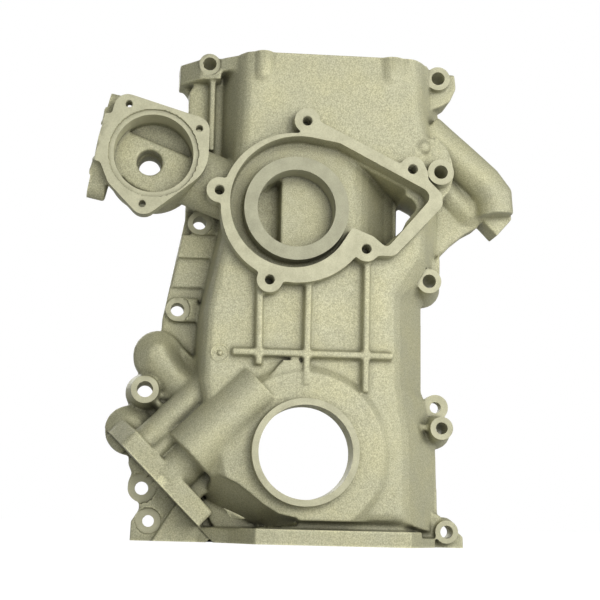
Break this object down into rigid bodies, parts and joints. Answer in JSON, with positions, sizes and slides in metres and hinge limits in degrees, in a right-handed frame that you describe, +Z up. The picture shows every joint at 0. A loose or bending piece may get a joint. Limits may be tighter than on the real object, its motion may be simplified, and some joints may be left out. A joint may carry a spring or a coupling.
{
  "type": "timing cover",
  "caption": "Cast timing chain cover with a crank oil seal bore, water pump volute, thermostat housing and bolt bosses.",
  "frame": {"origin": "crank axis at the joint plane where the cover meets the block", "axes": "+X to the right seen from the front, +Z up towards the cylinder head, the front of the cover faces -Y"},
  "size_m": [0.2899, 0.066, 0.3281],
  "materials": {
    "cast_aluminium": "as cast, grainy satin, with machined faces"
  },
  "bodies": {
    "root": {"timing_cover": "cast_aluminium"}
  },
  "joints": []
}
